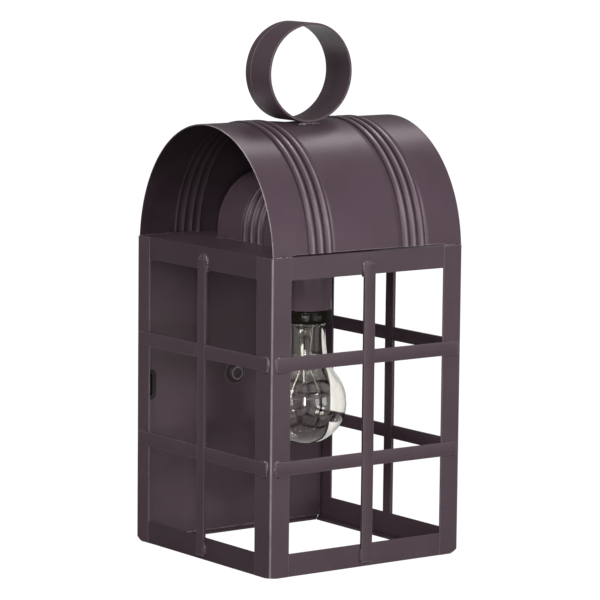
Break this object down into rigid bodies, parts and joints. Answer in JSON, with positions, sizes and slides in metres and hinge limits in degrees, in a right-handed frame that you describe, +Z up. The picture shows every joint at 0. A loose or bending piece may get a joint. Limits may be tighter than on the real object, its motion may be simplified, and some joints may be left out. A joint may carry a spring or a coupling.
{
  "type": "wall lantern",
  "caption": "Electric wall lantern: square barred cage with a solid back, open bottom, arched beaded roof over a vent hood, top ring and a hanging clear bulb.",
  "frame": {"origin": "middle of the lantern's underside, at the centre of its bounding box in plan", "axes": "+Z up, -Y out of the front, +Y towards the wall behind the back plate, +X to a viewer's right when facing the front"},
  "size_m": [0.166, 0.1636, 0.3714],
  "materials": {
    "painted_metal": "satin dark purplish bronze paint over sheet metal and solder",
    "black_phenolic": "black moulded lamp socket",
    "black_rubber": "matt black",
    "brass": "drawn brass",
    "zinc_steel": "zinc plated",
    "nickel_plate": "nickel plated",
    "clear_glass": "clear thin glass",
    "black_glass": "black glass insulator",
    "tungsten": "coiled wire"
  },
  "bodies": {
    "lantern": {"back_plate": "painted_metal", "wire_bushing": "black_rubber", "post_front_left": "painted_metal", "post_front_right": "painted_metal", "post_rear_left": "painted_metal", "post_rear_right": "painted_metal", "bottom_rail_front": "painted_metal", "bottom_rail_right": "painted_metal", "bottom_rail_rear": "painted_metal", "bottom_rail_left": "painted_metal", "top_rail_front": "painted_metal", "top_rail_right": "painted_metal", "top_rail_rear": "painted_metal", "top_rail_left": "painted_metal", "upright_bar_front": "painted_metal", "upright_bar_right": "painted_metal", "upright_bar_left": "painted_metal", "cross_bar_front_lower": "painted_metal", "cross_bar_front_upper": "painted_metal", "cross_bar_right_lower": "painted_metal", "cross_bar_right_upper": "painted_metal", "cross_bar_left_lower": "painted_metal", "cross_bar_left_upper": "painted_metal", "top_plate": "painted_metal", "vent_hood": "painted_metal", "roof": "painted_metal", "ring_handle": "painted_metal", "socket_cover": "painted_metal", "socket_nipple": "zinc_steel", "lock_nut_upper": "zinc_steel", "lock_nut_lower": "zinc_steel", "socket_body": "black_phenolic", "socket_shell": "brass", "socket_contact": "brass", "mounting_nipple": "zinc_steel", "cap_washer": "painted_metal", "cap_nut": "painted_metal", "mounting_lock_nut": "zinc_steel"},
    "bulb": {"bulb_glass": "clear_glass", "bulb_base": "nickel_plate", "bulb_insulator": "black_glass", "bulb_tip_contact": "nickel_plate", "bulb_stem": "clear_glass", "bulb_lead_left": "nickel_plate", "bulb_lead_right": "nickel_plate", "bulb_filament": "tungsten"}
  },
  "joints": [
    {"name": "bulb_unscrew", "type": "slide", "parent": "lantern", "child": "bulb", "axis": [0, 0, -1], "range_m": [0, 0.03]}
  ]
}
